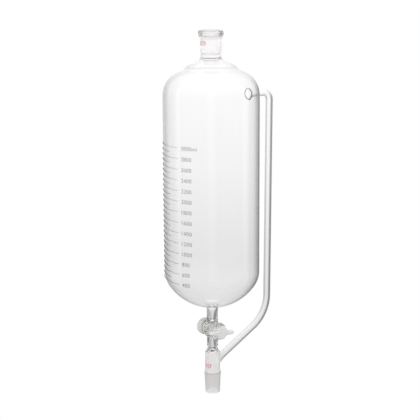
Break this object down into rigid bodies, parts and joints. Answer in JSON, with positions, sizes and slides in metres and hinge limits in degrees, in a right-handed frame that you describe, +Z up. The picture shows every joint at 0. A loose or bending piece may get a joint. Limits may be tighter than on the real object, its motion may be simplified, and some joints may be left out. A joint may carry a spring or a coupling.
{
  "type": "separatory funnel",
  "caption": "Cylindrical graduated dropping funnel: domed glass reservoir, ground socket and cone, pressure-equalising side arm and a PTFE stopcock with T-handle and tension nut.",
  "frame": {"origin": "centre of the lower ground cone's foot, on the vessel's axis", "axes": "+Z up the vessel's axis to the socket, +X towards the side arm, the stopcock's handle points to -Y and its nut to +Y, the scale is round -X"},
  "size_m": [0.1767, 0.1352, 0.5233],
  "materials": {
    "clear_glass": "fire-polished clear borosilicate glass",
    "ground_glass": "clear borosilicate glass with a finely ground, frosted taper",
    "scale_enamel": "fired blue-grey enamel",
    "white_ptfe": "waxy, slightly translucent white PTFE",
    "seal_rubber": "smooth black rubber",
    "nut_plastic": "milky, translucent moulded polypropylene"
  },
  "bodies": {
    "vessel": {"reservoir_wall": "clear_glass", "top_dome": "clear_glass", "bottom_dome": "clear_glass", "top_socket": "ground_glass", "outlet_stem": "clear_glass", "stopcock_barrel": "clear_glass", "drip_tube": "clear_glass", "lower_joint_tube": "clear_glass", "lower_cone": "ground_glass", "side_arm_elbow": "clear_glass", "side_arm_riser": "clear_glass", "side_arm_foot": "clear_glass", "graduation_marks": "scale_enamel"},
    "plug": {"stopcock_plug": "white_ptfe"},
    "seals": {"plug_washer": "white_ptfe", "plug_o_ring": "seal_rubber"},
    "nut": {"tension_nut": "nut_plastic"}
  },
  "joints": [
    {"name": "plug_turn", "type": "hinge", "parent": "vessel", "child": "plug", "pos_m": [0, 0, 0.0953], "axis": [0, 1, 0], "continuous": true},
    {"name": "seal_slide", "type": "slide", "parent": "plug", "child": "seals", "axis": [0, 1, 0], "range_m": [0, 0.0045]},
    {"name": "nut_turn", "type": "hinge", "parent": "seals", "child": "nut", "pos_m": [0, 0.018, 0.0953], "axis": [0, 1, 0], "range_deg": [0, 1081]}
  ],
  "couplings": [
    {"joint": "nut_turn", "follows": "seal_slide", "rad_per_m": 4188.8}
  ]
}
